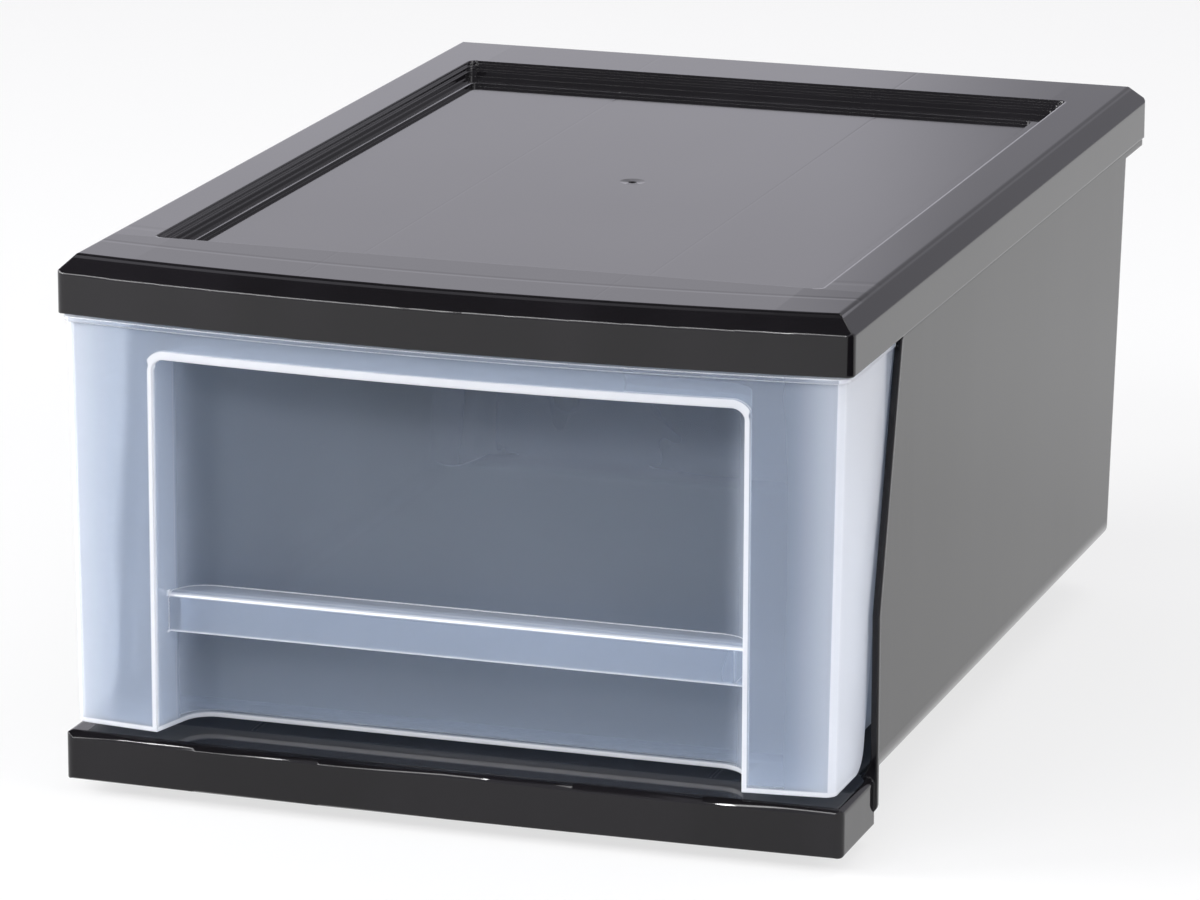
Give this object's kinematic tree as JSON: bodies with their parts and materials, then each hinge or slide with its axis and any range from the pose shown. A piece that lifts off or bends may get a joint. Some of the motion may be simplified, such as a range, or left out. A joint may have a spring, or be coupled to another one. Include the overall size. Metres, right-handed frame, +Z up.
{
  "type": "stackable drawer box",
  "caption": "Stackable storage box with one translucent pull-out drawer in a black case, recessed window with a hooded handle, and a stepped recess on top that takes the next box's foot",
  "frame": {"origin": "centre of the outline on the surface that the stacking foot stands on", "axes": "X across the front, Y from front to back with the drawer opening towards -Y, Z up"},
  "size_m": [0.3, 0.441, 0.203],
  "materials": {
    "black_body": "satin black polypropylene",
    "black_cover": "gloss black polypropylene",
    "milky_plastic": "translucent milky polypropylene"
  },
  "bodies": {
    "case": {"case_body": "black_body", "top_cover": "black_cover"},
    "drawer_body": {"drawer": "milky_plastic"}
  },
  "joints": [
    {"name": "drawer_slide", "type": "slide", "parent": "case", "child": "drawer_body", "axis": [0, -1, 0], "range_m": [0, 0.297]}
  ]
}
